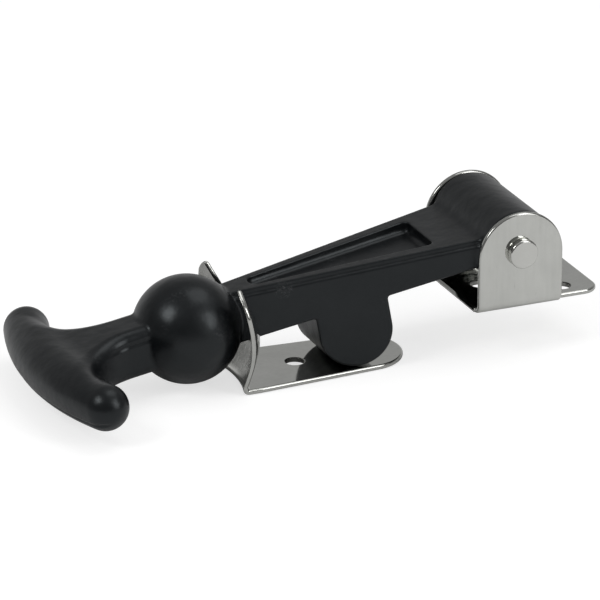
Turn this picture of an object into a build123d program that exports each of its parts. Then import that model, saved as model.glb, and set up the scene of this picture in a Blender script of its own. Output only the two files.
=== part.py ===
from build123d import *
import os

# Rubber T draw latch: one moulded rubber strap with a T-handle, a ball and a
# hinge barrel, an anchor bracket with its pivot pin, and a forked keeper.
# Frame: origin on the anchor's mounting face under the middle of its ears,
# +X from the handle towards the anchor's tab, +Y across, +Z off the face.

# --- stainless sheet, shared by both brackets ---
sheet_t = 1.5            # sheet thickness
screw_r = 2.75           # clearance hole for an M5 or No. 10 screw

# --- anchor bracket ---
channel_in = 1.5         # inside radius of its two folds
channel_out = channel_in + sheet_t
anchor_w = 38.0          # outside width over the two ears
ear_r = 13.0             # each ear ends in a half round as wide as itself
ear_round_h = 16.15      # height of the half round's centre
tab_end = 26.8           # far edge of the mounting tab
tab_half = anchor_w / 2 - channel_out
tab_corner = 5.0
tab_hole_x = 16.8        # pair of holes in the tab
tab_hole_y = 10.2
inner_hole_x = -3.8      # single hole between the ears

# --- pivot pin ---
pin_x = 0.0
pin_h = 17.4
pin_r = 3.0
pin_play = 0.05          # radial play of the pin in the ears and the barrel
head_r = 4.3
head_h = 2.3
peened_r = 4.0           # far end, peened over
peened_h = 1.4

# --- keeper ---
keeper_z = -14.5         # its mounting face lies below the anchor's
bend_in = 0.8            # inside radius of its one fold
bend_out = bend_in + sheet_t
fold_half = 14.8         # half width at the fold
waist_x = -54.0          # from here on the base narrows
waist_half = 13.2
tongue_x = -41.4         # centre of the round end
tongue_r = 12.3
keeper_hole_x = -61.4
fold_x = -81.2           # handle side face of the upright at the fold
fold_r = 48.0            # the upright is dished: its plan radius varies
foot_z = -11.5           # just above the fold it still stands nearly straight
foot_x = -80.4
foot_r = 42.0
seat_z = -3.0            # deepest level of the dish, behind the ball
seat_x = -76.2
seat_r = 28.0
brow_z = 6.0
brow_x = -77.5
brow_r = 33.5
horn_z = 18.0            # top level of the horns
horn_x = -82.1
horn_r = 36.0
flare_z = -12.0          # above this the fork widens to its shoulders
hip_half = 17.0          # its flanks bow outwards through here
hip_z = -2.9
shoulder_half = 18.1     # the fork is widest at its shoulders
shoulder_z = 8.8
horn_back_y = 16.0       # the horns' outer edges curve in through here
horn_back_z = 12.7
horn_tip_y = 11.6
horn_tip_z = 16.6
horn_tip_r = 0.8
slot_half = 9.8          # slot that takes the strap
mouth_z = 13.2           # above this its mouth opens out to the horn tips
mouth_r = 4.0
slot_floor = -3.2        # lowest point of its rounded bottom
slot_side = 0.4          # height where the bottom meets the sides
slot_corner = 3.0

# --- rubber latch, drawn straight along -X from the pin, then tilted ---
tilt = 9.17              # slope of the strap down towards the handle
barrel_r = 11.6
side_play = 0.25         # between the barrel's ends and the ears
barrel_half = anchor_w / 2 - sheet_t - side_play
ball_x = -95.5           # pin to ball
ball_r = 15.5
strap_start = -5.0       # inside the barrel
strap_end = -86.0        # inside the ball
root_x = -15.4           # strap section next to the barrel
root_half = barrel_half - 1.65
root_top = 6.2
root_bottom = -2.3
tail_x = -77.4           # strap section next to the ball
tail_half = 5.6
tail_top = 8.2
tail_bottom = -6.7
rim_drop = 1.5           # the top rim is set in from this far below the top
rim_inset = 0.9
rim_round = 0.7
pocket_root_x = -22.1    # lightening pocket in the top of the strap
pocket_root_half = 9.6
pocket_root_depth = 3.2
pocket_tail_x = -75.2
pocket_tail_half = 2.6
pocket_tail_depth = 2.2
pocket_corner = 2.2
pad_x = -49.5            # bumper pad under the strap
pad_r = 10.5
pad_z = -12.0
pad_flare = 1.3          # its flanks widen by this much down to the bottom
pad_round = 1.0
neck_w = 14.2
neck_h = 14.4
neck_corner = 3.2
neck_straight = 19.5     # neck keeps its section this far beyond the ball's centre
flare_w = 25.0           # half way it has opened out to this width
flare_end_w = 46.0       # and this width where it enters the T-bar
flare_h = 13.0
flare_corner = 4.8
bar_x = -137.1           # middle of the T-bar
bar_sweep = 4.8          # its arms bend back towards the ball by this much
bar_half = 30.6          # middle to the centre of a rounded end
bar_r = 6.55

os.makedirs("parts", exist_ok=True)


def strap_value(x, at_root, at_tail):
    """Straight-line value at station x, given at the root and the tail."""
    share = (x - root_x) / (tail_x - root_x)
    return at_root + (at_tail - at_root) * share


def strap_side(start_x, end_x, drop):
    """Side view of the strap between two stations, its top lowered by drop."""
    Polygon(
        (start_x, strap_value(start_x, root_bottom, tail_bottom)),
        (start_x, strap_value(start_x, root_top, tail_top) - drop),
        (end_x, strap_value(end_x, root_top, tail_top) - drop),
        (end_x, strap_value(end_x, root_bottom, tail_bottom)),
        align=None,
    )


def strap_plan(start_x, end_x, inset):
    """Plan view of the strap between two stations, each side moved in."""
    start_half = strap_value(start_x, root_half, tail_half) - inset
    end_half = strap_value(end_x, root_half, tail_half) - inset
    Polygon(
        (start_x, -start_half),
        (start_x, start_half),
        (end_x, end_half),
        (end_x, -end_half),
        align=None,
    )


# ---------------------------------------------------------------- rubber latch
with BuildPart() as strap:
    for drop, inset, rounding in ((rim_drop, 0.0, 0.5), (0.0, rim_inset, rim_round)):
        with BuildPart(mode=Mode.PRIVATE) as layer:
            with BuildSketch(Plane.XZ):
                strap_side(strap_start, strap_end, drop)
            extrude(amount=2 * barrel_half, both=True)
            with BuildSketch(Plane.XY):
                strap_plan(strap_start, strap_end, inset)
            extrude(amount=2 * ball_r, both=True, mode=Mode.INTERSECT)
            long_edges = layer.edges().filter_by(lambda edge: edge.length > ball_x / -2)
            fillet(long_edges, rounding)
        add(layer.part)

with BuildPart() as pad:
    with BuildSketch(Plane.XZ):
        with Locations((pad_x, pad_z)):
            Circle(pad_r)
            Rectangle(2 * pad_r, -pad_z, align=(Align.CENTER, Align.MIN))
    extrude(amount=barrel_half, both=True)
    # flanks follow the strap's sides and flare slightly towards the bottom
    with BuildPart(mode=Mode.INTERSECT):
        with BuildSketch(Plane.XY):
            strap_plan(strap_start, strap_end, 0.0)
        with BuildSketch(Plane.XY.offset(pad_z - pad_r)):
            strap_plan(strap_start, strap_end, -pad_flare)
        loft()
    flanks = [face for face in pad.faces() if abs(face.normal_at().Y) > 0.9]
    fillet([edge for face in flanks for edge in face.edges()], pad_round)

with BuildPart() as pocket:
    with BuildSketch(Plane.XY) as pocket_plan:
        Polygon(
            (pocket_root_x, -pocket_root_half),
            (pocket_root_x, pocket_root_half),
            (pocket_tail_x, pocket_tail_half),
            (pocket_tail_x, -pocket_tail_half),
            align=None,
        )
        fillet(pocket_plan.vertices(), pocket_corner)
    extrude(amount=2 * ball_r)
    with BuildSketch(Plane.XZ):
        root_floor = strap_value(pocket_root_x, root_top, tail_top) - pocket_root_depth
        tail_floor = strap_value(pocket_tail_x, root_top, tail_top) - pocket_tail_depth
        Polygon(
            (pocket_root_x + 1, root_floor),
            (pocket_root_x + 1, 2 * ball_r),
            (pocket_tail_x - 1, 2 * ball_r),
            (pocket_tail_x - 1, tail_floor),
            align=None,
        )
    extrude(amount=2 * ball_r, both=True, mode=Mode.INTERSECT)
    fillet(pocket.faces().sort_by(Axis.Z)[0].edges(), 0.8)

with BuildPart() as straight_latch:
    add(strap.part)
    add(pad.part)
    with Locations((ball_x, 0, 0)):
        Sphere(ball_r)
    Cylinder(barrel_r, 2 * barrel_half, rotation=(90, 0, 0))
    # neck, opening out like a trumpet towards the T-bar
    for station, width, height, corner in (
        (ball_x, neck_w, neck_h, neck_corner),
        (ball_x - neck_straight, neck_w, neck_h, neck_corner),
        ((ball_x - neck_straight + bar_x) / 2, flare_w, flare_h, flare_corner),
        (bar_x + 3, flare_end_w, flare_h, flare_corner),
    ):
        with BuildSketch(Plane.YZ.offset(station)):
            RectangleRounded(width, height, corner)
    loft()
    # T-bar: a round bar along a shallow arc, with ball ends
    with BuildLine(Plane.XY) as bar_line:
        ThreePointArc(
            (bar_x + bar_sweep, -bar_half),
            (bar_x, 0),
            (bar_x + bar_sweep, bar_half),
        )
    with BuildSketch(Plane(origin=bar_line.line @ 0, z_dir=bar_line.line % 0)):
        Circle(bar_r)
    sweep(path=bar_line.line)
    with Locations(bar_line.line @ 0, bar_line.line @ 1):
        Sphere(bar_r)
    # pocket in the strap and bore for the pin
    add(pocket.part, mode=Mode.SUBTRACT)
    Cylinder(pin_r + pin_play, 3 * barrel_half, rotation=(90, 0, 0), mode=Mode.SUBTRACT)

with BuildPart() as rubber_latch:
    with Locations(Location((pin_x, 0, pin_h), (0, -tilt, 0))):
        add(straight_latch.part)
rubber_latch.part.label = "rubber_latch"
export_step(rubber_latch.part, "parts/rubber_latch.step")

# -------------------------------------------------------------- anchor bracket
with BuildPart() as anchor_bracket:
    # channel folded from the sheet: base and two upright ears
    with BuildSketch(Plane.YZ.offset(-ear_r)) as channel:
        Rectangle(anchor_w, ear_round_h + ear_r, align=(Align.CENTER, Align.MIN))
        fillet(channel.vertices().group_by(Axis.Y)[0], channel_out)
        with BuildSketch(mode=Mode.SUBTRACT) as hollow:
            with Locations((0, sheet_t)):
                Rectangle(
                    anchor_w - 2 * sheet_t,
                    ear_round_h + ear_r,
                    align=(Align.CENTER, Align.MIN),
                )
            fillet(hollow.vertices().group_by(Axis.Y)[0], channel_in)
    extrude(amount=2 * ear_r)
    # half round top of the ears
    with BuildSketch(Plane.XZ):
        with Locations((0, ear_round_h)):
            Circle(ear_r)
            Rectangle(2 * ear_r, ear_round_h, align=(Align.CENTER, Align.MAX))
    extrude(amount=anchor_w, both=True, mode=Mode.INTERSECT)
    # mounting tab
    with BuildSketch() as tab:
        Rectangle(tab_end, 2 * tab_half, align=(Align.MIN, Align.CENTER))
        fillet(tab.vertices().group_by(Axis.X)[-1], tab_corner)
    extrude(amount=sheet_t)
    # pin hole through both ears
    with Locations((pin_x, 0, pin_h)):
        Cylinder(pin_r + pin_play, 2 * anchor_w, rotation=(90, 0, 0), mode=Mode.SUBTRACT)
    # three screw holes
    with Locations((inner_hole_x, 0), (tab_hole_x, tab_hole_y), (tab_hole_x, -tab_hole_y)):
        Cylinder(screw_r, 4 * sheet_t, mode=Mode.SUBTRACT)
anchor_bracket.part.label = "anchor_bracket"
export_step(anchor_bracket.part, "parts/anchor_bracket.step")

# ------------------------------------------------------------------- pivot pin
on_face = (Align.CENTER, Align.CENTER, Align.MIN)
with BuildPart() as pivot_pin:
    with Locations((pin_x, 0, pin_h)):
        Cylinder(pin_r, anchor_w, rotation=(90, 0, 0))
    with Locations((pin_x, -anchor_w / 2, pin_h)):
        Cylinder(head_r, head_h, rotation=(90, 0, 0), align=on_face)
    with Locations((pin_x, anchor_w / 2, pin_h)):
        Cylinder(peened_r, peened_h, rotation=(-90, 0, 0), align=on_face)
    fillet(pivot_pin.faces().sort_by(Axis.Y)[0].edges(), 0.5)
    fillet(pivot_pin.faces().sort_by(Axis.Y)[-1].edges(), 0.8)
pivot_pin.part.label = "pivot_pin"
export_step(pivot_pin.part, "parts/pivot_pin.step")

# ---------------------------------------------------------------------- keeper
blank_half = shoulder_half + 1.5
wide_x = fold_x + bend_out + sheet_t


def upright_arc(middle_x, plan_r, offset):
    """Plan arc of the upright, crossing the middle at middle_x plus offset."""
    sagitta = plan_r - (plan_r**2 - blank_half**2) ** 0.5
    return ThreePointArc(
        (middle_x - sagitta + offset, -blank_half),
        (middle_x + offset, 0),
        (middle_x - sagitta + offset, blank_half),
    )


with BuildPart() as keeper:
    # dished upright, lofted through plan arcs that tighten towards the seat
    for level, middle_x, plan_r in (
        (keeper_z, fold_x, fold_r),
        (foot_z, foot_x, foot_r),
        (seat_z, seat_x, seat_r),
        (brow_z, brow_x, brow_r),
        (horn_z, horn_x, horn_r),
    ):
        with BuildSketch(Plane.XY.offset(level)):
            with BuildLine():
                front = upright_arc(middle_x, plan_r, 0.0)
                rear = upright_arc(middle_x, plan_r, sheet_t)
                Line(front @ 0, rear @ 0)
                Line(front @ 1, rear @ 1)
            make_face()
    loft()
    # flat base with its tapered sides and round tongue, started inside the
    # wall of the upright and left wide at the fold for the front outline to trim
    with BuildSketch(Plane.XY.offset(keeper_z)):
        with BuildLine():
            start = upright_arc(fold_x, fold_r, 0.8 * sheet_t)
            for side, arc_end in ((-1, start @ 0), (1, start @ 1)):
                Polyline(
                    arc_end,
                    (wide_x, side * blank_half),
                    (wide_x, side * fold_half),
                    (waist_x, side * waist_half),
                    (tongue_x, side * tongue_r),
                )
            ThreePointArc(
                (tongue_x, -tongue_r), (tongue_x + tongue_r, 0), (tongue_x, tongue_r)
            )
        make_face()
    extrude(amount=sheet_t)
    # fold between the two: inside radius first, then the outside
    for level, radius in ((keeper_z + sheet_t, bend_in), (keeper_z, bend_out)):
        on_level = keeper.edges().filter_by_position(Axis.Z, level - 0.01, level + 0.01)
        curved = on_level.filter_by(GeomType.LINE, reverse=True)
        fold_edges = curved.filter_by_position(Axis.X, fold_x - bend_out, wide_x)
        fillet(fold_edges.sort_by(SortBy.LENGTH)[-1], radius)
    # front outline: two horns either side of the slot
    with BuildSketch(Plane.YZ) as fork:
        with BuildLine():
            Line((fold_half, keeper_z), (fold_half, flare_z))
            ThreePointArc(
                (fold_half, flare_z), (hip_half, hip_z), (shoulder_half, shoulder_z)
            )
            ThreePointArc(
                (shoulder_half, shoulder_z),
                (horn_back_y, horn_back_z),
                (horn_tip_y, horn_tip_z),
            )
            Polyline(
                (horn_tip_y, horn_tip_z),
                (slot_half, mouth_z),
                (slot_half, slot_side),
            )
            ThreePointArc((slot_half, slot_side), (0, slot_floor), (-slot_half, slot_side))
            Line((-slot_half, slot_side), (-slot_half, keeper_z))
            Line((-slot_half, keeper_z), (fold_half, keeper_z))
        make_face()
        mirror(about=Plane.YZ)
        for level, radius in (
            (horn_tip_z, horn_tip_r),
            (mouth_z, mouth_r),
            (slot_side, slot_corner),
        ):
            corners = fork.vertices().filter_by_position(Axis.Y, level - 0.01, level + 0.01)
            fillet(corners, radius)
    extrude(amount=8 * ball_r, both=True, mode=Mode.INTERSECT)
    # screw hole
    with Locations((keeper_hole_x, 0, keeper_z)):
        Cylinder(screw_r, 4 * sheet_t, mode=Mode.SUBTRACT)
keeper.part.label = "keeper"
export_step(keeper.part, "parts/keeper.step")
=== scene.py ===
import math

import bmesh
import bpy
import numpy as np
from mathutils import Euler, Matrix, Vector


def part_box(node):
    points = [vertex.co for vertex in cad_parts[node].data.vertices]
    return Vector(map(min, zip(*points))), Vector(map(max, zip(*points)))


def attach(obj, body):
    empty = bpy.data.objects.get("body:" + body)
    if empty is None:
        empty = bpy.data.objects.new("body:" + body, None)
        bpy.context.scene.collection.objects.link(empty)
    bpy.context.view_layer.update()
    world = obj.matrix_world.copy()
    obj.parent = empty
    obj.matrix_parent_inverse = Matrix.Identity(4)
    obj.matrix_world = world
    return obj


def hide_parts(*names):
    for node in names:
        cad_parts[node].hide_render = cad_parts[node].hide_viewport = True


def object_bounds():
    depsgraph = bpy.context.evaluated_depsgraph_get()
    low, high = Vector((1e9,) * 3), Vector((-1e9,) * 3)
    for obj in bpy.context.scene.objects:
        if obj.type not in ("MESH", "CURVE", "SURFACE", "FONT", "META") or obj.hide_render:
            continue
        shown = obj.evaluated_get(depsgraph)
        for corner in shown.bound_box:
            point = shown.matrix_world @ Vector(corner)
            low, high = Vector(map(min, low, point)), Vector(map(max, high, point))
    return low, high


# Rubber T draw latch. Each of the four CAD nodes is redrawn as an even mesh that
# lies on a written form: the node's own shape, with its edges softly rounded.

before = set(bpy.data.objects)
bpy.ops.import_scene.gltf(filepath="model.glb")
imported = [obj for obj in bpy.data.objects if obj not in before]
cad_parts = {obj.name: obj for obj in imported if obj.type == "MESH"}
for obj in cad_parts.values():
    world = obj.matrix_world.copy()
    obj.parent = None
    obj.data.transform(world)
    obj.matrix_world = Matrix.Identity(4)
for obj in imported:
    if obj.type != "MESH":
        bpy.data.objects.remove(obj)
CAD_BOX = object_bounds()
MM = 0.001

# sizes that several pieces share, in millimetres
SHEET = 1.5                   # thickness of both sheets
SCREW_R = 2.75
BORE_R = 3.05                 # pin hole in the ears and in the barrel
PIN_Z = 17.4                  # height of the hinge axis
TILT = math.radians(9.17)     # slope of the strap
FLOOR_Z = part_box("keeper")[0].z


# ------------------------------------------------------------------ node tools
def new_material(name):
    """Empty node material and its output node."""
    material = bpy.data.materials.new(name)
    material.use_nodes = True
    material.node_tree.nodes.clear()
    return material, material.node_tree.nodes.new("ShaderNodeOutputMaterial")


def node(tree, kind, inputs=None, **settings):
    """A node with its settings, and its inputs set to a value or linked."""
    made = tree.nodes.new("ShaderNode" + kind)
    for key, value in settings.items():
        setattr(made, key, value)
    for key, value in (inputs or {}).items():
        if isinstance(value, bpy.types.NodeSocket):
            tree.links.new(value, made.inputs[key])
        else:
            made.inputs[key].default_value = value
    return made


def noise(tree, place, scale, detail=3.0, roughness=0.5, distortion=0.0):
    """Noise value at a place, scale in features per metre."""
    inputs = {
        "Vector": place,
        "Scale": scale,
        "Detail": detail,
        "Roughness": roughness,
        "Distortion": distortion,
    }
    return node(tree, "TexNoise", inputs).outputs["Fac"]


def remap(tree, value, low, high, to_low, to_high):
    """Value between low and high brought to the other range, held at its ends."""
    inputs = {
        "Value": value,
        "From Min": low,
        "From Max": high,
        "To Min": to_low,
        "To Max": to_high,
    }
    return node(tree, "MapRange", inputs, clamp=True).outputs["Result"]


def math_node(tree, operation, a, b):
    """Two values joined by an operation."""
    return node(tree, "Math", {0: a, 1: b}, operation=operation).outputs[0]


def mix_colour(tree, factor, a, b):
    """Colour between a and b."""
    mixed = node(tree, "Mix", data_type="RGBA")
    for index, value in ((0, factor), (6, a), (7, b)):
        if isinstance(value, bpy.types.NodeSocket):
            tree.links.new(value, mixed.inputs[index])
        else:
            mixed.inputs[index].default_value = value
    return mixed.outputs[2]


def stretched(tree, place, factors):
    """The place with each axis scaled, for marks that run one way."""
    return node(tree, "Mapping", {"Vector": place, "Scale": factors}).outputs["Vector"]


# ------------------------------------------------------------------- materials
RUBBER_DARK = (0.0026, 0.0031, 0.0038, 1.0)
RUBBER_LIGHT = (0.0050, 0.0056, 0.0064, 1.0)
RUBBER_SCUFFED = (0.075, 0.078, 0.080, 1.0)
# place and reach of two pale patches on the strap's near side, millimetres
PALE_PATCHES = (((-67.8, -7.8, 12.6), 3.4), ((-30.2, -12.1, 20.5), 0.9))
STEEL_WORN = (0.24, 0.24, 0.22, 1.0)
# dull steel, also the colour of the painted shade in the holes and under the ball
STEEL_DULL_AND_SHADE = (0.19, 0.19, 0.18, 1.0)
PAPER = 0.8                   # the floor's own brightness


def rubber_material():
    """Black moulded rubber: satin, faintly mottled, dusty scuffs here and there."""
    material, output = new_material("black_rubber")
    tree = material.node_tree
    place = node(tree, "TexCoord").outputs["Object"]
    broad = noise(tree, place, 90.0, 3.0, 0.55)
    fine = noise(tree, place, 1400.0, 4.0, 0.6)
    rubbed = noise(tree, place, 140.0, 3.0, 0.55)
    scuff_place = noise(tree, place, 55.0, 2.0, 0.5)
    scuff = math_node(
        tree,
        "MULTIPLY",
        remap(tree, scuff_place, 0.62, 0.72, 0.0, 1.0),
        remap(tree, fine, 0.5, 0.68, 0.0, 1.0),
    )
    for spot, reach in PALE_PATCHES:
        away = node(
            tree,
            "VectorMath",
            {0: place, 1: tuple(value * MM for value in spot)},
            operation="DISTANCE",
        ).outputs["Value"]
        patch = math_node(
            tree,
            "MULTIPLY",
            remap(tree, away, 0.4 * reach * MM, reach * MM, 1.0, 0.0),
            remap(tree, fine, 0.50, 0.66, 0.0, 1.0),
        )
        scuff = math_node(tree, "MAXIMUM", scuff, patch)
    mottle = remap(tree, broad, 0.3, 0.7, 0.0, 1.0)
    base = mix_colour(tree, mottle, RUBBER_DARK, RUBBER_LIGHT)
    cover = math_node(tree, "MULTIPLY", scuff, 0.55)
    colour = mix_colour(tree, cover, base, RUBBER_SCUFFED)
    roughness = math_node(
        tree,
        "ADD",
        remap(tree, rubbed, 0.3, 0.7, 0.30, 0.37),
        math_node(tree, "MULTIPLY", scuff, 0.15),
    )
    height = noise(tree, place, 260.0, 2.0, 0.4)
    bump = node(
        tree, "Bump", {"Height": height, "Strength": 0.5, "Distance": 0.0003}
    )
    shader = node(
        tree,
        "BsdfPrincipled",
        {
            "Base Color": colour,
            "Roughness": roughness,
            "Specular IOR Level": 0.38,
            "Specular Tint": (0.90, 0.97, 1.0, 1.0),
            "Normal": bump.outputs["Normal"],
        },
    )
    tree.links.new(shader.outputs[0], output.inputs["Surface"])
    return material


def steel_material(name, light, dark, smooth, rough, grain_axes):
    """Polished stainless steel with faint polishing marks and handling haze.

    Its colour lies between light and dark and its roughness between smooth and
    rough; grain_axes says how fine the marks are along each axis.
    """
    material, output = new_material(name)
    tree = material.node_tree
    place = node(tree, "TexCoord").outputs["Object"]
    cloud = noise(tree, place, 120.0, 3.0, 0.5)
    marks = noise(tree, stretched(tree, place, grain_axes), 1.0, 4.0, 0.6)
    nicks = noise(tree, stretched(tree, place, (900.0, 2600.0, 160.0)), 1.0, 3.0, 0.6)
    nick = remap(tree, nicks, 0.70, 0.76, 0.0, 1.0)
    tone = math_node(
        tree,
        "ADD",
        math_node(tree, "MULTIPLY", cloud, 0.6),
        math_node(tree, "MULTIPLY", marks, 0.4),
    )
    colour = mix_colour(tree, remap(tree, tone, 0.35, 0.65, 0.0, 1.0), dark, light)
    worn = mix_colour(
        tree, math_node(tree, "MULTIPLY", nick, 0.35), colour, STEEL_WORN
    )
    # sheared edges are darker and less smooth; the punched walls are rougher and darkened
    # as painted shade in the holes, and the keeper's lower front under the ball is darkened
    # as painted shade
    dull_and_shade = node(tree, "Attribute", attribute_name="dull_and_shade").outputs["Fac"]
    mottle = remap(tree, noise(tree, place, 900.0, 3.0, 0.6), 0.35, 0.65, 0.75, 1.0)
    dull_and_shade = math_node(tree, "MULTIPLY", dull_and_shade, mottle)
    worn = mix_colour(tree, dull_and_shade, worn, STEEL_DULL_AND_SHADE)
    roughness = math_node(
        tree,
        "ADD",
        remap(tree, cloud, 0.3, 0.7, smooth, rough),
        math_node(tree, "MULTIPLY", nick, 0.12),
    )
    roughness = math_node(
        tree, "ADD", roughness, math_node(tree, "MULTIPLY", dull_and_shade, 0.28)
    )
    bump = node(
        tree,
        "Bump",
        {
            "Height": math_node(
                tree, "SUBTRACT", math_node(tree, "MULTIPLY", marks, 0.3), nick
            ),
            "Strength": 0.12,
            "Distance": 0.00005,
        },
    )
    shader = node(
        tree,
        "BsdfPrincipled",
        {
            "Base Color": worn,
            "Metallic": 1.0,
            "Roughness": roughness,
            "Normal": bump.outputs["Normal"],
        },
    )
    tree.links.new(shader.outputs[0], output.inputs["Surface"])
    return material


def floor_material(lift, white):
    """Pale paper floor.

    The camera sees lift of its brightness as glow, which softens the shadow, and
    white more, which brings the paper up to white.
    """
    material, output = new_material("studio_floor")
    tree = material.node_tree
    place = node(tree, "TexCoord").outputs["Object"]
    grain = noise(tree, place, 40.0)
    paper = mix_colour(
        tree, grain, (PAPER - 0.01,) * 3 + (1.0,), (PAPER + 0.01,) * 3 + (1.0,)
    )
    direct = node(tree, "LightPath").outputs["Is Camera Ray"]
    diffuse = node(
        tree,
        "BsdfDiffuse",
        {"Color": mix_colour(tree, direct, paper, (PAPER - lift,) * 3 + (1.0,))},
    )
    strength = math_node(tree, "MULTIPLY", direct, lift + white)
    glow = node(tree, "Emission", {"Strength": strength})
    both = node(tree, "AddShader", {0: diffuse.outputs[0], 1: glow.outputs[0]})
    tree.links.new(both.outputs[0], output.inputs["Surface"])
    return material


# -------------------------------------------------------------------- geometry
WELD = 2e-6                   # corners closer than this are one, metres
LATCH_VOXEL, STEEL_VOXEL, PIN_VOXEL = 0.55, 0.4, 0.3    # mesh spacing, millimetres
LATCH_SPLITS, STEEL_SPLITS = 1, 2       # rounds that split the bent edges
FINEST_BEND = math.radians(5)           # an edge that bends more is split
SMOOTHINGS = (3, 3, 2, 0)     # rounds of smoothing before each settling
PROBE = 0.01                  # half step that a form's slope is taken over
LONGEST_STEP = 0.5            # of a point that settles
LEAST_SLOPE = 0.05            # squared slope that a step is reckoned with, at least


def welded_copy(node_name, name):
    """New object from a CAD node's mesh, its faces joined along their seams."""
    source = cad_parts[node_name].data
    bm = bmesh.new()
    bm.from_mesh(source)
    bmesh.ops.remove_doubles(bm, verts=bm.verts, dist=WELD)
    bmesh.ops.dissolve_degenerate(bm, edges=bm.edges, dist=WELD)
    bmesh.ops.recalc_face_normals(bm, faces=bm.faces)
    points = [vert.co.copy() for vert in bm.verts]
    faces = [[vert.index for vert in face.verts] for face in bm.faces]
    bm.free()
    mesh = bpy.data.meshes.new(name)
    mesh.from_pydata(points, [], faces)
    mesh.update()
    obj = bpy.data.objects.new(name, mesh)
    bpy.context.scene.collection.objects.link(obj)
    return obj


def apply_modifiers(obj):
    """Keeps the modified mesh and drops the modifiers."""
    graph = bpy.context.evaluated_depsgraph_get()
    mesh = bpy.data.meshes.new_from_object(obj.evaluated_get(graph))
    obj.modifiers.clear()
    obj.data = mesh


def soft_union(a, b, radius):
    """Distance to both forms, with a fillet where they meet."""
    h = np.clip(0.5 + 0.5 * (b - a) / radius, 0.0, 1.0)
    return b + (a - b) * h - radius * h * (1.0 - h)


def cut(a, b, radius):
    """Distance to a with b taken out, the rim rounded."""
    return -soft_union(-a, b, radius)


def rounded(u, v, corner):
    """Distance from two distances to flat sides, their corner rounded."""
    u, v = u + corner, v + corner
    outside = np.hypot(np.maximum(u, 0.0), np.maximum(v, 0.0))
    return outside + np.minimum(np.maximum(u, v), 0.0) - corner


def ramp(value, low, high):
    """Smooth step from 0 at low to 1 at high."""
    t = np.clip((value - low) / (high - low), 0.0, 1.0)
    return t * t * (3.0 - 2.0 * t)


def groove(value, middle, half):
    """Smooth hill of height 1 around middle, 0 beyond half."""
    return 0.5 + 0.5 * np.cos(np.pi * np.clip(np.abs(value - middle) / half, 0.0, 1.0))


def slope(distance, p):
    """Outward direction of a form's surface, by central differences."""
    steps = []
    for axis in range(3):
        shift = np.zeros(3)
        shift[axis] = PROBE
        steps.append((distance(p + shift) - distance(p - shift)) / (2 * PROBE))
    return np.stack(steps, 1)


def settle(distance, points, rounds):
    """Moves points onto a form's surface."""
    for _ in range(rounds):
        gradient = slope(distance, points)
        size = np.maximum((gradient**2).sum(1), LEAST_SLOPE)
        step = np.clip(distance(points) / size, -LONGEST_STEP, LONGEST_STEP)
        points = points - gradient * step[:, None]
    return points


def mesh_points(obj):
    """Vertex positions in millimetres."""
    flat = np.empty(3 * len(obj.data.vertices))
    obj.data.vertices.foreach_get("co", flat)
    return flat.reshape(-1, 3) / MM


def outward(distance, points):
    """Unit normals of a form at points on its surface."""
    facing = slope(distance, points)
    return facing / np.linalg.norm(facing, axis=1)[:, None]


def refine(obj, distance, angle):
    """Splits the edges that bend more than an angle, and settles the new points."""
    mesh = obj.data
    facing = outward(distance, mesh_points(obj))
    ends = np.empty(2 * len(mesh.edges), dtype=np.int32)
    mesh.edges.foreach_get("vertices", ends)
    start, finish = facing[ends.reshape(-1, 2)].transpose(1, 0, 2)
    bends = np.flatnonzero((start * finish).sum(1) < math.cos(angle))
    bm = bmesh.new()
    bm.from_mesh(mesh)
    bm.edges.ensure_lookup_table()
    bent = [bm.edges[index] for index in bends]
    bmesh.ops.subdivide_edges(bm, edges=bent, cuts=1, use_grid_fill=True)
    bm.to_mesh(mesh)
    bm.free()
    points = settle(distance, mesh_points(obj), 2)
    mesh.vertices.foreach_set("co", points.ravel() * MM)


def settled_mesh(node_name, name, distance, voxel, splits):
    """A CAD node redrawn as an even mesh that lies on its rounded form."""
    obj = welded_copy(node_name, name)
    remesh = obj.modifiers.new("remesh", "REMESH")
    remesh.mode = "VOXEL"
    remesh.voxel_size = voxel * MM
    for iterations in SMOOTHINGS:
        if iterations:
            even = obj.modifiers.new("even", "SMOOTH")
            even.factor = 0.5
            even.iterations = iterations
            apply_modifiers(obj)
        points = settle(distance, mesh_points(obj), 3)
        obj.data.vertices.foreach_set("co", points.ravel() * MM)
    for _ in range(splits):
        refine(obj, distance, FINEST_BEND)
    points = mesh_points(obj)
    return obj, points, outward(distance, points)


def finish_piece(obj, node_name, material, body):
    """Hands a finished mesh over in place of its CAD node."""
    obj.data.materials.append(material)
    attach(obj, body)
    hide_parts(node_name)


def steel_piece(node_name, name, distance, dull_and_shade_of, voxel, material):
    """A steel piece: its form, and how dull its surface is and how darkened as painted
    shade, from point to point.
    """
    obj, points, facing = settled_mesh(node_name, name, distance, voxel, STEEL_SPLITS)
    obj.data.shade_smooth()
    obj.data.normals_split_custom_set_from_vertices(facing)
    dull_and_shade = obj.data.attributes.new("dull_and_shade", "FLOAT", "POINT")
    dull_and_shade.data.foreach_set("value", dull_and_shade_of(points, facing).astype(np.float32))
    finish_piece(obj, node_name, material, "brackets")


# ----------------------------------------------------------- forms, millimetres
EDGE_ROUND = 0.6              # rounding of the sheets' tumbled outlines
HOLE_ROUND = 0.3              # rounding of their deburred holes
# how far the sheets' edges go from polished to dull, and how far the keeper's lower front
# under the ball is darkened as painted shade
EDGE_DULL, SEAT_SHADE = 0.30, 0.75


def sheet_piece(edge, holes, bent):
    """Folded sheet: its outline tumbled round, its holes only deburred."""
    skin = np.abs(bent) - SHEET / 2
    return np.maximum(
        rounded(edge, skin, EDGE_ROUND), rounded(holes, skin, HOLE_ROUND)
    )


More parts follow.
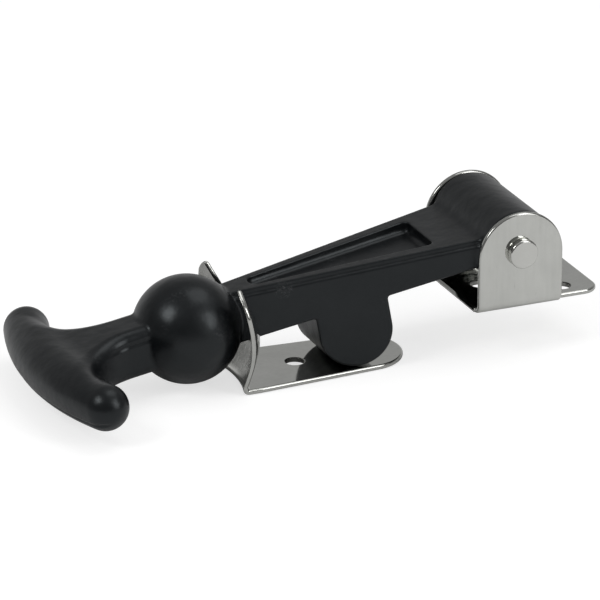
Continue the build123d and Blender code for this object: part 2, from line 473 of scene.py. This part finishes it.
def dull_edges_and_hole_shade(edge, holes):
    """Share of dull surface: some of the sheared edge, and all of the punched walls, whose
    darkening is painted shade in the holes.
    """
    sheared = EDGE_DULL * ramp(edge, -0.6, -0.2)
    # the punched walls are darkened as painted shade in the holes, and rougher
    return np.maximum(ramp(holes, -0.3, -0.1), sheared)


# anchor bracket
ANCHOR_HALF = 19.0            # half width over the ears
ANCHOR_FOLD = 2.25            # fold radius at the middle of the sheet
EAR_R, EAR_ROUND_Z = 13.0, 16.15
TAB_X, TAB_HALF, TAB_CORNER = 26.8, 16.0, 5.0
TAB_FILLET = 0.6              # where the tab meets the ears
TAB_HOLE = (16.8, 10.2)
INNER_HOLE_X = -3.8


def anchor_edge(p):
    """Distance out of the anchor's outline: the ears' arches and the tab."""
    x, y, z = p.T
    arch = np.where(z > EAR_ROUND_Z, np.hypot(x, z - EAR_ROUND_Z), np.abs(x)) - EAR_R
    tab = rounded(x - TAB_X, np.abs(y) - TAB_HALF, TAB_CORNER)
    return soft_union(arch, tab, TAB_FILLET)


def anchor_holes(p):
    """Distance into the anchor's pin hole and screw holes, negative in the sheet."""
    x, y, z = p.T
    pair = np.hypot(x - TAB_HOLE[0], np.abs(y) - TAB_HOLE[1])
    screws = np.minimum(np.hypot(x - INNER_HOLE_X, y), pair)
    return np.maximum(BORE_R - np.hypot(x, z - PIN_Z), SCREW_R - screws)


def anchor_dull_and_shade(p, facing):
    """Share of dull surface on the anchor, with painted shade on the walls of its holes."""
    return dull_edges_and_hole_shade(anchor_edge(p), anchor_holes(p))


def anchor_distance(p):
    """Distance from points to the anchor bracket."""
    x, y, z = p.T
    bent = rounded(SHEET / 2 - z, np.abs(y) - ANCHOR_HALF + SHEET / 2, ANCHOR_FOLD)
    return sheet_piece(anchor_edge(p), anchor_holes(p), bent)


# keeper, base
BASE_X = (-77.4, -54.0, -41.4)     # stations of its half widths
BASE_HALF = (14.8, 13.2, 12.3)
TONGUE_X, TONGUE_R = BASE_X[-1], BASE_HALF[-1]
KEEPER_HOLE_X = -61.4
KEEPER_FOLD = 1.55            # fold radius at the middle of the sheet
# keeper, upright: plan arcs lofted through five levels
LEVELS = np.array([-14.5, -11.5, -3.0, 6.0, 18.0])
MIDDLES = np.array([-81.2, -80.4, -76.2, -77.5, -82.1])
PLAN_R = np.array([48.0, 42.0, 28.0, 33.5, 36.0])
SPAN = 15.0                   # half width at which the arcs' sagittas are lofted
REACH = 20.0                  # half width up to which the arcs are drawn
SAGITTAS = PLAN_R - np.sqrt(PLAN_R**2 - SPAN**2)
# keeper, outline of the fork
FORK_Z = -12.0                # below this the outline is the base's
FLANK = np.polyfit((FORK_Z, -2.9, 8.8), (14.8, 17.0, 18.3), 2)
FLANK_TOP = 14.0              # its half width stays the same above this
HORN_Z, HORN_HEIGHT = 6.5, 11.0    # where the flank starts to curve in
HORN_BEND, HORN_POWER = 0.0128, 2.68
HORN_TIP = 1.1                # softening of the horns' tips
SLOT_HALF, SLOT_CORNER = 9.8, 3.0
SLOT_FLOOR_Z, SLOT_FLOOR_R = 11.94, 15.14    # centre and radius of its round floor
MOUTH_Z, MOUTH_HEIGHT, MOUTH_R = 8.0, 10.0, 18.7


def lofted(values):
    """Polynomial in z of a measure lofted smoothly through the levels."""
    chords = np.hypot(np.diff(MIDDLES), np.diff(LEVELS))
    stations = np.concatenate([[0.0], np.cumsum(chords)])
    fine = np.linspace(0.0, stations[-1], 200)
    z = np.polyval(np.polyfit(stations, LEVELS, 4), fine)
    return np.polyfit(z, np.polyval(np.polyfit(stations, values, 4), fine), 7)


DISH, BOW = lofted(MIDDLES), lofted(SAGITTAS)


def keeper_edge(p):
    """Distance out of the keeper's outline: a tapering base, and the fork."""
    x, y, z = p.T
    wide = np.abs(y)
    tongue = np.hypot(x - TONGUE_X, y) - TONGUE_R
    base = np.where(x > TONGUE_X, tongue, wide - np.interp(x, BASE_X, BASE_HALF))
    # flank curving in to the horn, and the slot with its open mouth
    above = np.clip(z - HORN_Z, 0.0, HORN_HEIGHT)
    flank = wide - np.polyval(FLANK, np.clip(z, FORK_Z, FLANK_TOP))
    flank = flank + HORN_BEND * above**HORN_POWER
    flank = flank / np.hypot(1.0, HORN_BEND * HORN_POWER * above ** (HORN_POWER - 1.0))
    rise = np.clip(z - MOUTH_Z, 0.0, MOUTH_HEIGHT)
    mouth = SLOT_HALF + MOUTH_R - np.sqrt(MOUTH_R**2 - rise**2)
    floor = np.hypot(y, z - SLOT_FLOOR_Z) - SLOT_FLOOR_R
    slot = rounded(wide - mouth, floor, SLOT_CORNER)
    return np.where(z < FORK_Z, base, -soft_union(-flank, slot, HORN_TIP))


def keeper_hole(p):
    """Distance into the keeper's screw hole, negative in the sheet."""
    return SCREW_R - np.hypot(p[:, 0] - KEEPER_HOLE_X, p[:, 1])


def keeper_dull_and_shade(p, facing):
    """Share of dull surface on the keeper, with painted shade in its hole and on its lower
    front under the ball.
    """
    # painted shade: the lower front faces under the ball are made darker and rougher
    shade_under_ball = SEAT_SHADE * ramp(-facing[:, 0], 0.55, 0.85) * ramp(p[:, 2], -12.5, -10.5)
    return np.maximum(dull_edges_and_hole_shade(keeper_edge(p), keeper_hole(p)), shade_under_ball)


def keeper_distance(p):
    """Distance from points to the keeper."""
    x, y, z = p.T
    # upright: a plan arc at every level, folded into the flat base
    level = np.clip(z, LEVELS[0], LEVELS[-1])
    bow = np.polyval(BOW, level)
    plan_r = (SPAN**2 + bow**2) / (2 * bow)
    sagitta = plan_r - np.sqrt(plan_r**2 - np.minimum(np.abs(y), REACH) ** 2)
    middle = np.polyval(DISH, level) - sagitta + SHEET / 2
    bent = rounded(LEVELS[0] + SHEET / 2 - z, middle - x, KEEPER_FOLD)
    return sheet_piece(keeper_edge(p), keeper_hole(p), bent)


# pivot pin: its ends as radius, middle along y, half length, edge rounding
PIN_R, PIN_HALF = 3.0, 19.5
PIN_ENDS = ((4.3, -20.15, 1.15, 0.65), (4.0, 19.7, 0.7, 0.6))


def pin_dull(p, facing):
    """Share of dull surface on the pin: none."""
    return np.zeros(len(p))


def pin_distance(p):
    """Distance from points to the pin."""
    x, y, z = p.T
    rho = np.hypot(x, z - PIN_Z)
    form = np.maximum(rho - PIN_R, np.abs(y) - PIN_HALF)
    for radius, middle, half, edge in PIN_ENDS:
        end = rounded(rho - radius, np.abs(y - middle) - half, edge)
        form = np.minimum(form, end)
    return form


# latch, drawn straight along -X from the pin; pairs go from root to tail
ROOT_X, TAIL_X = -15.4, -77.4
STRAP_HALF, STRAP_TOP, STRAP_BOTTOM = (15.6, 5.6), (6.2, 8.2), (-2.3, -6.7)
STRAP_START, STRAP_END = -5.0, -86.6         # inside the barrel and the ball
STRAP_ROUND = 0.8
RIM_DROP, RIM_INSET, RIM_ROUND = 1.5, 0.95, 0.5
RIM_HALF = 2.0                # half thickness of the layer that makes the rim
PAD_X, PAD_Z, PAD_R, PAD_FLARE = -49.5, -12.0, 10.5, 1.3
BARREL_R, BARREL_HALF, BARREL_ROUND = 11.6, 17.25, 0.6
BALL_X, BALL_R = -95.5, 15.5
NECK_HALF, NECK_TOP, NECK_CORNER = 7.1, 7.2, 3.2
NECK_LENGTH = 19.5            # from the ball's centre to where it starts to open
TRUMPET_STEP = 10.8           # unit of length along the opening
TRUMPET_GAIN, TRUMPET_POWER = 5.4, 1.75      # how its half width grows by steps
TRUMPET_SLOPE = 0.8           # about how steep its sides grow with each step
TRUMPET_THIN, TRUMPET_CORNER = 0.6, 1.2      # flatter and rounder as it opens
TRUMPET_END = 2.1             # where it stops opening, in steps
NECK_SET_IN = 1.5             # of the neck's end from the T-bar's middle line
BAR_X, BAR_HALF, BAR_SWEEP, BAR_R = -137.1, 30.6, 4.8, 6.55
SWING = (BAR_HALF**2 + BAR_SWEEP**2) / (2 * BAR_SWEEP)
POCKET_X = (-22.1, -75.2)
POCKET_HALF, POCKET_DEPTH = (9.6, 2.6), (3.3, 2.3)
POCKET_CORNER, POCKET_FLOOR_ROUND, POCKET_RIM_ROUND = 2.2, 2.0, 0.5
# fillets where its forms meet
RIM_FILLET, PAD_FILLET, BARREL_FILLET, BALL_FILLET, BAR_FILLET = 0.35, 1.0, 1.8, 0.9, 5.0
NECK_END_FILLET = 4.0
# lines left by the mould: level, half width and depth
BAR_LINE, NECK_LINE = (-2.6, 0.8, 0.30), (3.7, 1.1, 0.35)


def tilted(points, angle):
    """Points turned about the hinge axis."""
    x, y, z = points.T
    z = z - PIN_Z
    c, s = math.cos(angle), math.sin(angle)
    return np.stack([c * x - s * z, y, s * x + c * z + PIN_Z], 1)


def along(x, ends):
    """A measure of the strap at station x, straight between root and tail."""
    return ends[0] + (ends[1] - ends[0]) * (x - ROOT_X) / (TAIL_X - ROOT_X)


def strap_form(x, wide, z):
    """Distance to the strap, its stepped rim and the pad under it."""
    half, top, bottom = (along(x, ends) for ends in (STRAP_HALF, STRAP_TOP, STRAP_BOTTOM))
    edge = top - RIM_DROP
    slab = np.abs(z - (edge + bottom) / 2) - (edge - bottom) / 2
    pad = np.hypot(x - PAD_X, np.minimum(z - PAD_Z, 0.0)) - PAD_R
    # strap and pad share their flanks, which flare downwards
    flank = wide - half - PAD_FLARE * np.clip(z / (PAD_Z - PAD_R), 0.0, 1.0)
    body = rounded(flank, soft_union(slab, np.maximum(pad, z), PAD_FILLET), STRAP_ROUND)
    rim = rounded(wide - half + RIM_INSET, np.abs(z - top + RIM_HALF) - RIM_HALF, RIM_ROUND)
    ends = np.maximum(STRAP_END - x, x - STRAP_START)
    return np.maximum(soft_union(body, rim, RIM_FILLET), ends)


def neck_form(x, y, z):
    """Distance to the neck, which opens like a trumpet into the T-bar."""
    reach = np.clip((BALL_X - NECK_LENGTH - x) / TRUMPET_STEP, 0.0, TRUMPET_END)
    sides = np.abs(y) - NECK_HALF - TRUMPET_GAIN * reach**TRUMPET_POWER
    sides = sides / np.hypot(1.0, TRUMPET_SLOPE * reach)
    level = np.abs(z) - NECK_TOP + TRUMPET_THIN * ramp(reach, 0.0, 1.5)
    corner = NECK_CORNER + TRUMPET_CORNER * ramp(reach, 0.0, 1.0)
    behind = np.hypot(x - BAR_X - SWING, y) - SWING + NECK_SET_IN
    neck = cut(rounded(sides, level, corner), -behind, NECK_END_FILLET)
    return np.maximum(neck, x - BALL_X)


def mould_line(z, line):
    """Depth of a line that the mould left."""
    level, half, depth = line
    return depth * groove(z, level, half)


def pocket_form(x, wide, z):
    """Distance to the pocket in the strap's top."""
    share = (POCKET_X[0] - x) / (POCKET_X[0] - POCKET_X[1])
    length = np.abs(x - sum(POCKET_X) / 2) - (POCKET_X[0] - POCKET_X[1]) / 2
    half = POCKET_HALF[0] + (POCKET_HALF[1] - POCKET_HALF[0]) * share
    depth = POCKET_DEPTH[0] + (POCKET_DEPTH[1] - POCKET_DEPTH[0]) * share
    outline = rounded(length, wide - half, POCKET_CORNER)
    return -soft_union(-outline, z - along(x, STRAP_TOP) + depth, POCKET_FLOOR_ROUND)


def latch_distance(p):
    """Distance from points to the moulded latch."""
    x, y, z = tilted(p, -TILT).T
    z = z - PIN_Z
    wide = np.abs(y)
    barrel = rounded(np.hypot(x, z) - BARREL_R, wide - BARREL_HALF, BARREL_ROUND)
    ball = np.sqrt((x - BALL_X) ** 2 + y * y + z * z) - BALL_R
    form = soft_union(strap_form(x, wide, z), barrel, BARREL_FILLET)
    form = soft_union(form, ball, BALL_FILLET)
    form = soft_union(form, neck_form(x, y, z), BALL_FILLET)
    # T-bar: a round bar on a shallow arc, and the line its mould left outside
    end = math.asin(BAR_HALF / SWING)
    turn = np.clip(np.arctan2(y, BAR_X + SWING - x), -end, end)
    off_x = x - BAR_X - SWING * (1.0 - np.cos(turn))
    off_y = y - SWING * np.sin(turn)
    form = soft_union(form, np.sqrt(off_x**2 + off_y**2 + z * z) - BAR_R, BAR_FILLET)
    form = form + mould_line(z, BAR_LINE) * ramp(-off_x, 0.9, 3.2)
    # the neck's line stays clear of the T-bar, the ball and the neck's top
    beside = ramp(x, BAR_X + 13.0, BAR_X + 20.0) * ramp(wide, 3.5, 5.0)
    beside = beside * (1.0 - ramp(x, BALL_X - 14.5, BALL_X - 12.5))
    form = form + mould_line(z, NECK_LINE) * beside
    form = cut(form, pocket_form(x, wide, z), POCKET_RIM_ROUND)
    return np.maximum(form, BORE_R - np.hypot(x, z))


def rubber_latch(material):
    """The moulded latch, shaded by its form's own normals."""
    obj, _, facing = settled_mesh(
        "rubber_latch", "latch_moulding", latch_distance, LATCH_VOXEL, LATCH_SPLITS
    )
    obj.data.shade_smooth()
    obj.data.normals_split_custom_set_from_vertices(facing)
    finish_piece(obj, "rubber_latch", material, "latch")


# ------------------------------------------------------------------- the model
rubber = rubber_material()
sheet = steel_material(
    "stainless_sheet",
    light=(0.610, 0.615, 0.588, 1.0),
    dark=(0.545, 0.550, 0.525, 1.0),
    smooth=0.06,
    rough=0.11,
    grain_axes=(700.0, 700.0, 60.0),
)
pin_steel = steel_material(
    "stainless_pin",
    light=(0.640, 0.642, 0.615, 1.0),
    dark=(0.590, 0.592, 0.566, 1.0),
    smooth=0.14,
    rough=0.22,
    grain_axes=(260.0, 260.0, 260.0),
)

rubber_latch(rubber)
steel_piece(
    "anchor_bracket",
    "anchor_plate",
    anchor_distance,
    anchor_dull_and_shade,
    STEEL_VOXEL,
    sheet,
)
steel_piece(
    "keeper",
    "keeper_plate",
    keeper_distance,
    keeper_dull_and_shade,
    STEEL_VOXEL,
    sheet,
)
steel_piece(
    "pivot_pin",
    "pin_turned",
    pin_distance,
    pin_dull,
    PIN_VOXEL,
    pin_steel,
)


# ------------------------------------------------------- floor, light, camera
FLOOR_GAP = 0.0001            # floor just under the keeper, metres
CAMERA_TURN, CAMERA_RISE = math.radians(-23.197), math.radians(21.960)
CAMERA_AIM = (-59.77, 0.0, 5.34)
CAMERA_LENS = 341.0
CAMERA_DISTANCE = 1.6         # metres, from the aim
BACKDROP_WAY = (0.37, 0.93)   # horizontal direction in which the backdrop stands


def studio_floor():
    """Plain white floor under the object."""
    bm = bmesh.new()
    bmesh.ops.create_grid(bm, x_segments=1, y_segments=1, size=4.0)
    mesh = bpy.data.meshes.new("studio_floor")
    bm.to_mesh(mesh)
    bm.free()
    floor = bpy.data.objects.new("studio_floor", mesh)
    floor.location.z = FLOOR_Z - FLOOR_GAP
    mesh.materials.append(floor_material(lift=0.35, white=0.32))
    bpy.context.scene.collection.objects.link(floor)


def softbox(name, direction, distance, size, power):
    """Area lamp that faces the object's middle from a direction."""
    middle = (CAD_BOX[0] + CAD_BOX[1]) / 2
    light = bpy.data.lights.new(name, "AREA")
    light.shape = "RECTANGLE"
    light.size, light.size_y = size
    light.energy = power
    lamp = bpy.data.objects.new(name, light)
    toward = Vector(direction).normalized()
    lamp.location = middle + toward * distance
    lamp.rotation_euler = toward.to_track_quat("Z", "Y").to_euler()
    bpy.context.scene.collection.objects.link(lamp)


def studio_world(fill):
    """White to look at. What metal mirrors is a backdrop, brightest at its foot,
    and a dimmer room round it; all else is lit by an even fill.
    """
    world = bpy.data.worlds.new("studio")
    world.use_nodes = True
    tree = world.node_tree
    background = tree.nodes["Background"]
    background.inputs["Color"].default_value = (1.0, 1.0, 1.0, 1.0)
    path = node(tree, "LightPath").outputs
    mirrored = math_node(
        tree, "MAXIMUM", path["Is Glossy Ray"], path["Is Transmission Ray"]
    )
    ahead = node(tree, "TexCoord").outputs["Generated"]
    way = node(tree, "SeparateXYZ", {0: ahead}).outputs
    towards_back = math_node(
        tree,
        "ADD",
        math_node(tree, "MULTIPLY", way["X"], BACKDROP_WAY[0]),
        math_node(tree, "MULTIPLY", way["Y"], BACKDROP_WAY[1]),
    )
    backdrop = remap(tree, way["Z"], 0.1, 0.45, 0.67, 0.33)
    overhead = remap(tree, way["Z"], 0.45, 0.75, 0.15, 0.32)
    studio = remap(tree, towards_back, 0.1, 0.8, overhead, backdrop)
    lit = remap(tree, mirrored, 0.0, 1.0, fill, studio)
    strength = remap(tree, path["Is Camera Ray"], 0.0, 1.0, lit, 1.0)
    tree.links.new(strength, background.inputs["Strength"])
    bpy.context.scene.world = world


def camera():
    """Long lens at the picture's angle, a little above the object."""
    data = bpy.data.cameras.new("camera")
    data.lens = CAMERA_LENS
    data.clip_end = 20.0
    seen = bpy.data.objects.new("camera", data)
    seen.rotation_euler = Euler((math.pi / 2 - CAMERA_RISE, 0.0, CAMERA_TURN))
    aim = Vector(CAMERA_AIM) * MM
    back = seen.rotation_euler.to_matrix() @ Vector((0.0, 0.0, 1.0))
    seen.location = aim + back * CAMERA_DISTANCE
    bpy.context.scene.collection.objects.link(seen)
    bpy.context.scene.camera = seen


studio_floor()
softbox("lamp_left", (-0.711, -0.162, 0.682), 0.9, (0.28, 0.28), 1.7)
softbox("lamp_front", (0.504, -0.723, 0.474), 1.0, (0.34, 0.60), 2.5)
softbox("lamp_top", (0.34, 0.01, 0.94), 1.0, (0.60, 0.60), 1.6)
studio_world(0.50)
camera()
bpy.context.scene.view_settings.view_transform = "Standard"
